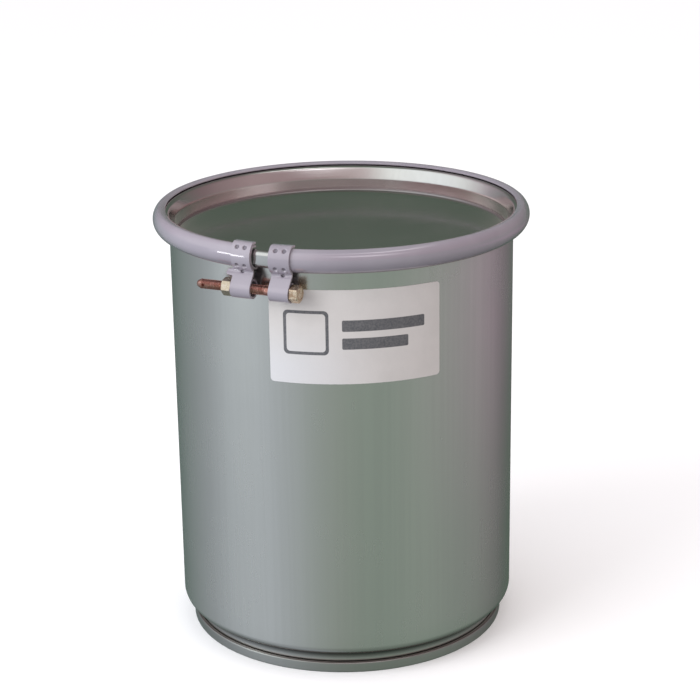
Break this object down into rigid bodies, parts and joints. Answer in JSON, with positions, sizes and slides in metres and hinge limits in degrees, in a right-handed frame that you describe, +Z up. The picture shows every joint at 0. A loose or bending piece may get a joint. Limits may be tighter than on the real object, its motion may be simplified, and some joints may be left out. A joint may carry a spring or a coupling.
{
  "type": "steel oil drum",
  "caption": "Small stainless open-head drum with a recessed cover, rubber gasket and painted bolt ring; holds oil, powder or parts.",
  "frame": {"origin": "centre of the base, on the drum's axis, on the floor", "axes": "+Z up along the drum's axis; -Y is the front that the picture faces, with the label to its right, and the ring's closure sits 23.8 degrees left of it, towards -X"},
  "size_m": [0.3146, 0.3166, 0.3704],
  "materials": {
    "stainless": "satin, faint vertical bands",
    "seam_compound": "matte",
    "label_vinyl": "matte white vinyl",
    "gasket_rubber": "matte",
    "ring_paint": "semi-gloss grey paint",
    "bolt_bronze": "coppery brown plating, worn",
    "nut_zinc": "yellow zinc plating"
  },
  "bodies": {
    "drum": {"body_shell": "stainless", "bottom_head": "stainless", "seam_compound": "seam_compound", "label": "label_vinyl"},
    "cover": {"cover": "stainless", "cover_gasket": "gasket_rubber"},
    "ring": {"closing_ring": "ring_paint", "head_side_lug": "ring_paint"},
    "ring_free_end": {"nut_side_lug": "ring_paint"},
    "bolt": {"closing_bolt": "bolt_bronze"},
    "nut": {"closing_nut": "nut_zinc"}
  },
  "joints": [
    {"name": "ring_removal", "type": "slide", "parent": "drum", "child": "ring", "axis": [-0.2853, -0.647, 0.7071], "range_m": [0, 0.17], "deforming": ["closing_ring"]},
    {"name": "cover_lift", "type": "slide", "parent": "drum", "child": "cover", "axis": [0, 0, 1], "range_m": [0, 0.0766]},
    {"name": "ring_spread", "type": "hinge", "parent": "ring", "child": "ring_free_end", "pos_m": [0.06316, 0.14319, 0.3588], "axis": [0, 0, -1], "range_deg": [0, 3], "deforming": ["closing_ring"]},
    {"name": "bolt_spin", "type": "hinge", "parent": "ring", "child": "bolt", "pos_m": [-0.06174, -0.13999, 0.3333], "axis": [0.915, -0.4035, 0], "range_deg": [0, 4135]},
    {"name": "nut_travel", "type": "slide", "parent": "ring", "child": "nut", "axis": [-0.915, 0.4035, 0], "range_m": [0, 0.01621]}
  ],
  "couplings": [
    {"joint": "cover_lift", "follows": "ring_removal", "ratio": 0.45},
    {"joint": "nut_travel", "follows": "ring_spread", "m_per_rad": 0.3095},
    {"joint": "bolt_spin", "follows": "ring_spread", "ratio": 1378}
  ]
}
